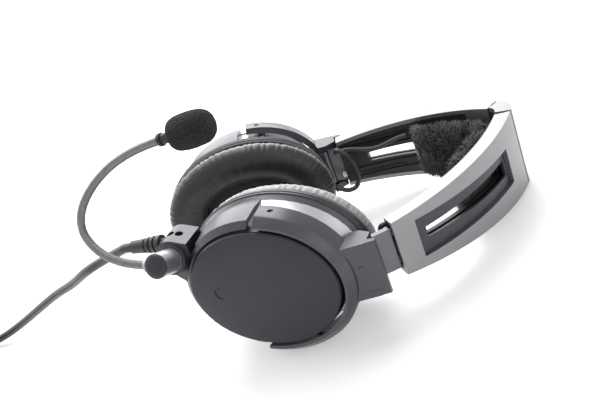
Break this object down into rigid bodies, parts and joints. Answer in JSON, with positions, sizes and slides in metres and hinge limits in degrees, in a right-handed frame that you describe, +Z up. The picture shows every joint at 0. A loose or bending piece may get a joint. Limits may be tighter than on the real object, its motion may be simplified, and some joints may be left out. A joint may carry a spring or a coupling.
{
  "type": "aviation headset",
  "caption": "Aviation headset with a folding sprung headband, swivelling ear cups, a gooseneck boom microphone and a lead that ends in twin plugs.",
  "frame": {"origin": "centre of the headset's bounding box on the surface it lies on, without the lead", "axes": "+X from the ear cups to the crown of the headband, -Y towards the left cup, +Z up, which is towards the wearer's front as the headset lies on its rear edges"},
  "size_m": [0.4274, 0.21, 0.126],
  "materials": {
    "band_silver": "satin",
    "black_plastic": "matte",
    "board_green": "gloss",
    "cap_slate": "satin",
    "cup_silver": "satin",
    "cushion_leather": "soft satin",
    "flange_plastic": "satin",
    "foam": "open-cell foam",
    "lead_rubber": "satin",
    "link_grey": "satin",
    "neck_steel": "black wound",
    "plug_metal": "polished",
    "scrim_cloth": "matte weave",
    "sheepskin": "long pile",
    "steel": "brushed",
    "window_plastic": "matte",
    "yoke_graphite": "satin"
  },
  "bodies": {
    "crown": {"crown_cover": "band_silver", "crown_frame": "black_plastic", "hinge_pins": "steel", "torsion_springs": "steel", "head_pad": "sheepskin"},
    "left_arm": {"left_arm_frame": "band_silver", "left_window_frame": "window_plastic", "left_arm_liner": "black_plastic", "left_arm_screws": "steel", "left_arm_lead": "lead_rubber"},
    "left_slider": {"left_slider_rails": "steel", "left_slider_head": "link_grey"},
    "left_yoke_unit": {"left_yoke": "yoke_graphite", "left_fold_pin": "steel", "left_tilt_pins": "steel"},
    "left_cup": {"left_housing": "cup_silver", "left_cap": "cap_slate", "left_flange": "flange_plastic", "left_baffle": "black_plastic", "left_driver": "black_plastic", "left_board": "board_green", "left_scrim": "scrim_cloth", "left_cushion": "cushion_leather", "left_lead_loop": "lead_rubber", "boom_lug": "yoke_graphite", "strain_relief": "lead_rubber", "main_lead": "lead_rubber", "lead_coil": "lead_rubber", "lead_tail": "lead_rubber", "lead_splitter": "lead_rubber", "plug_leads": "lead_rubber", "phone_plug_boot": "black_plastic", "phone_plug_pin": "plug_metal", "mic_plug_boot": "black_plastic", "mic_plug_pin": "plug_metal"},
    "right_arm": {"right_arm_frame": "band_silver", "right_window_frame": "window_plastic", "right_arm_liner": "black_plastic", "right_arm_screws": "steel", "right_arm_lead": "lead_rubber"},
    "right_slider": {"right_slider_rails": "steel", "right_slider_head": "link_grey"},
    "right_yoke_unit": {"right_yoke": "yoke_graphite", "right_fold_pin": "steel", "right_tilt_pins": "steel"},
    "right_cup": {"right_housing": "cup_silver", "right_cap": "cap_slate", "right_flange": "flange_plastic", "right_baffle": "black_plastic", "right_driver": "black_plastic", "right_board": "board_green", "right_scrim": "scrim_cloth", "right_cushion": "cushion_leather", "right_lead_loop": "lead_rubber"},
    "boom": {"boom_knob": "cup_silver", "knob_cap": "cap_slate", "gooseneck": "neck_steel", "mic_stem": "black_plastic", "windscreen": "foam"}
  },
  "joints": [
    {"name": "left_arm_hinge", "type": "hinge", "parent": "crown", "child": "left_arm", "pos_m": [0.10078, -0.01443, 0.02174], "axis": [0.1234, 0, 0.9924], "range_deg": [0, 17], "stiffness_Nm_per_rad": 1, "springref_deg": -20.05},
    {"name": "left_size_slide", "type": "hinge", "parent": "left_arm", "child": "left_slider", "pos_m": [0.00427, 0.04693, 0.03375], "axis": [-0.1234, 0, -0.9924], "range_deg": [-4.25, 10.75], "deforming": ["left_lead_loop"]},
    {"name": "left_yoke_fold", "type": "hinge", "parent": "left_slider", "child": "left_yoke_unit", "pos_m": [0.00585, -0.06761, 0.03355], "axis": [-0.1234, 0, -0.9924], "range_deg": [-31.6, 4], "deforming": ["left_lead_loop"]},
    {"name": "left_cup_tilt", "type": "hinge", "parent": "left_yoke_unit", "child": "left_cup", "pos_m": [-0.02426, -0.05841, 0.03729], "axis": [0.1234, 0, 0.9924], "range_deg": [-3, 8], "deforming": ["left_lead_loop"]},
    {"name": "right_arm_hinge", "type": "hinge", "parent": "crown", "child": "right_arm", "pos_m": [0.10078, -0.00131, 0.02174], "axis": [-0.1234, 0, -0.9924], "range_deg": [0, 17], "stiffness_Nm_per_rad": 1, "springref_deg": -20.05},
    {"name": "right_size_slide", "type": "hinge", "parent": "right_arm", "child": "right_slider", "pos_m": [0.00427, -0.06267, 0.03375], "axis": [0.1234, 0, 0.9924], "range_deg": [0, 15.01], "deforming": ["right_lead_loop"]},
    {"name": "right_yoke_fold", "type": "hinge", "parent": "right_slider", "child": "right_yoke_unit", "pos_m": [0.01427, 0.05144, 0.0325], "axis": [0.1234, 0, 0.9924], "range_deg": [-1, 27], "deforming": ["right_lead_loop"]},
    {"name": "right_cup_tilt", "type": "hinge", "parent": "right_yoke_unit", "child": "right_cup", "pos_m": [-0.01565, 0.06123, 0.03622], "axis": [-0.1234, 0, -0.9924], "range_deg": [-9, 2], "deforming": ["right_lead_loop"]},
    {"name": "boom_swivel", "type": "hinge", "parent": "left_cup", "child": "boom", "pos_m": [-0.07334, -0.03665, 0.06456], "axis": [-0.4111, -0.8046, 0.4286], "range_deg": [-35, 100]}
  ]
}
